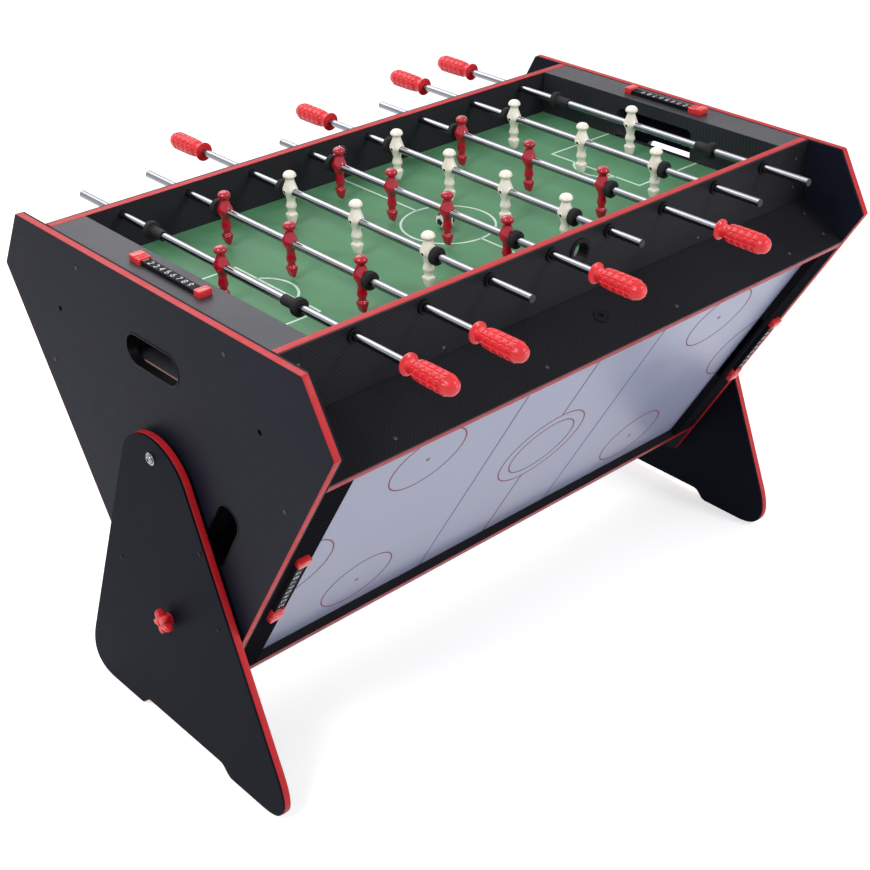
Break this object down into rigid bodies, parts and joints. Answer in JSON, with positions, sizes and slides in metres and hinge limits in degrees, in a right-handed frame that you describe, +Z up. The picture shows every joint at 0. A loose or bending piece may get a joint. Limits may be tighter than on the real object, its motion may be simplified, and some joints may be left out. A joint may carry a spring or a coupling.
{
  "type": "games table",
  "caption": "Turn-over three-face games table: rod football on top, air hockey below, bumper pool on the hidden face, on two splayed end legs.",
  "frame": {"origin": "on the floor, midway between the two legs, below the pivot axis", "axes": "+X along the table to its right end, +Y to the far side, +Z up"},
  "size_m": [1.3066, 1.052, 0.8818],
  "materials": {
    "panel_black": "matte charcoal laminate",
    "board_carbon": "satin black carbon-weave vinyl on board",
    "rail_carbon": "satin grey carbon-weave vinyl",
    "pitch_green": "matte printed green",
    "hockey_white": "smooth pale laminate with printed lines",
    "pool_cloth": "short woven cloth",
    "steel_chrome": "bright chrome",
    "stopper_rubber": "matte black rubber",
    "red_plastic": "glossy bright red",
    "red_men": "glossy crimson",
    "white_men": "glossy cream",
    "blower_black": "moulded black"
  },
  "bodies": {
    "stand": {"left_leg": "panel_black", "right_leg": "panel_black", "left_pivot_bolt": "steel_chrome", "right_pivot_bolt": "steel_chrome"},
    "cabinet": {"left_end_panel": "panel_black", "right_end_panel": "panel_black", "football_near_board": "board_carbon", "football_far_board": "board_carbon", "hockey_upper_board": "board_carbon", "hockey_lower_board": "board_carbon", "pool_upper_board": "board_carbon", "pool_lower_board": "board_carbon", "football_pitch": "pitch_green", "hockey_surface": "hockey_white", "pool_bed": "pool_cloth", "football_left_end_rail": "rail_carbon", "football_right_end_rail": "rail_carbon", "hockey_left_end_rail": "rail_carbon", "hockey_right_end_rail": "rail_carbon", "pool_left_end_rail": "rail_carbon", "pool_right_end_rail": "rail_carbon", "hockey_blower": "blower_black"},
    "rod_1_carriage": {"rod_1_near_stopper": "stopper_rubber", "rod_1_far_stopper": "stopper_rubber"},
    "rod_1": {"rod_1_players": "red_men", "rod_1_handle": "red_plastic"},
    "rod_2_carriage": {"rod_2_near_stopper": "stopper_rubber", "rod_2_far_stopper": "stopper_rubber"},
    "rod_2": {"rod_2_players": "red_men", "rod_2_handle": "red_plastic"},
    "rod_3_carriage": {"rod_3_near_stopper": "stopper_rubber", "rod_3_far_stopper": "stopper_rubber"},
    "rod_3": {"rod_3_players": "white_men", "rod_3_handle": "red_plastic"},
    "rod_4_carriage": {"rod_4_near_stopper": "stopper_rubber", "rod_4_far_stopper": "stopper_rubber"},
    "rod_4": {"rod_4_players": "red_men", "rod_4_handle": "red_plastic"},
    "rod_5_carriage": {"rod_5_near_stopper": "stopper_rubber", "rod_5_far_stopper": "stopper_rubber"},
    "rod_5": {"rod_5_players": "white_men", "rod_5_handle": "red_plastic"},
    "rod_6_carriage": {"rod_6_near_stopper": "stopper_rubber", "rod_6_far_stopper": "stopper_rubber"},
    "rod_6": {"rod_6_players": "red_men", "rod_6_handle": "red_plastic"},
    "rod_7_carriage": {"rod_7_near_stopper": "stopper_rubber", "rod_7_far_stopper": "stopper_rubber"},
    "rod_7": {"rod_7_players": "white_men", "rod_7_handle": "red_plastic"},
    "rod_8_carriage": {"rod_8_near_stopper": "stopper_rubber", "rod_8_far_stopper": "stopper_rubber"},
    "rod_8": {"rod_8_players": "white_men", "rod_8_handle": "red_plastic"},
    "football_left_score": {"football_left_score_slider": "red_plastic"},
    "football_right_score": {"football_right_score_slider": "red_plastic"},
    "hockey_left_score": {"hockey_left_score_slider": "red_plastic"},
    "hockey_right_score": {"hockey_right_score_slider": "red_plastic"},
    "left_knob": {"left_lock_knob": "red_plastic"},
    "right_knob": {"right_lock_knob": "red_plastic"}
  },
  "joints": [
    {"name": "cabinet_turn", "type": "hinge", "parent": "stand", "child": "cabinet", "pos_m": [0, 0, 0.576], "axis": [1, 0, 0], "continuous": true},
    {"name": "rod_1_push", "type": "slide", "parent": "cabinet", "child": "rod_1_carriage", "axis": [0, 1, 0], "range_m": [-0.1008, 0.0828]},
    {"name": "rod_1_spin", "type": "hinge", "parent": "rod_1_carriage", "child": "rod_1", "pos_m": [-0.4627, 0, 0.84681], "axis": [0, 1, 0], "continuous": true},
    {"name": "rod_2_push", "type": "slide", "parent": "cabinet", "child": "rod_2_carriage", "axis": [0, 1, 0], "range_m": [-0.0988, 0.0808]},
    {"name": "rod_2_spin", "type": "hinge", "parent": "rod_2_carriage", "child": "rod_2", "pos_m": [-0.3305, 0, 0.84681], "axis": [0, 1, 0], "continuous": true},
    {"name": "rod_3_push", "type": "slide", "parent": "cabinet", "child": "rod_3_carriage", "axis": [0, 1, 0], "range_m": [-0.0948, 0.0848]},
    {"name": "rod_3_spin", "type": "hinge", "parent": "rod_3_carriage", "child": "rod_3", "pos_m": [-0.1983, 0, 0.84681], "axis": [0, 1, 0], "continuous": true},
    {"name": "rod_4_push", "type": "slide", "parent": "cabinet", "child": "rod_4_carriage", "axis": [0, 1, 0], "range_m": [-0.0548, 0.0548]},
    {"name": "rod_4_spin", "type": "hinge", "parent": "rod_4_carriage", "child": "rod_4", "pos_m": [-0.0661, 0, 0.84681], "axis": [0, 1, 0], "continuous": true},
    {"name": "rod_5_push", "type": "slide", "parent": "cabinet", "child": "rod_5_carriage", "axis": [0, 1, 0], "range_m": [-0.0528, 0.0568]},
    {"name": "rod_5_spin", "type": "hinge", "parent": "rod_5_carriage", "child": "rod_5", "pos_m": [0.0661, 0, 0.84681], "axis": [0, 1, 0], "continuous": true},
    {"name": "rod_6_push", "type": "slide", "parent": "cabinet", "child": "rod_6_carriage", "axis": [0, 1, 0], "range_m": [-0.0928, 0.0868]},
    {"name": "rod_6_spin", "type": "hinge", "parent": "rod_6_carriage", "child": "rod_6", "pos_m": [0.1983, 0, 0.84681], "axis": [0, 1, 0], "continuous": true},
    {"name": "rod_7_push", "type": "slide", "parent": "cabinet", "child": "rod_7_carriage", "axis": [0, 1, 0], "range_m": [-0.0888, 0.0908]},
    {"name": "rod_7_spin", "type": "hinge", "parent": "rod_7_carriage", "child": "rod_7", "pos_m": [0.3305, 0, 0.84681], "axis": [0, 1, 0], "continuous": true},
    {"name": "rod_8_push", "type": "slide", "parent": "cabinet", "child": "rod_8_carriage", "axis": [0, 1, 0], "range_m": [-0.0898, 0.0938]},
    {"name": "rod_8_spin", "type": "hinge", "parent": "rod_8_carriage", "child": "rod_8", "pos_m": [0.4627, 0, 0.84681], "axis": [0, 1, 0], "continuous": true},
    {"name": "football_left_score_slide", "type": "slide", "parent": "cabinet", "child": "football_left_score", "axis": [0, -1, 0], "range_m": [0, 0.142]},
    {"name": "football_right_score_slide", "type": "slide", "parent": "cabinet", "child": "football_right_score", "axis": [0, 1, 0], "range_m": [0, 0.142]},
    {"name": "hockey_left_score_slide", "type": "slide", "parent": "cabinet", "child": "hockey_left_score", "axis": [0, -0.5, 0.866], "range_m": [0, 0.142]},
    {"name": "hockey_right_score_slide", "type": "slide", "parent": "cabinet", "child": "hockey_right_score", "axis": [0, -0.5, 0.866], "range_m": [0, 0.142]},
    {"name": "left_knob_turn", "type": "hinge", "parent": "stand", "child": "left_knob", "pos_m": [-0.631, 0, 0.265], "axis": [1, 0, 0], "continuous": true},
    {"name": "right_knob_turn", "type": "hinge", "parent": "stand", "child": "right_knob", "pos_m": [0.631, 0, 0.265], "axis": [1, 0, 0], "continuous": true}
  ]
}
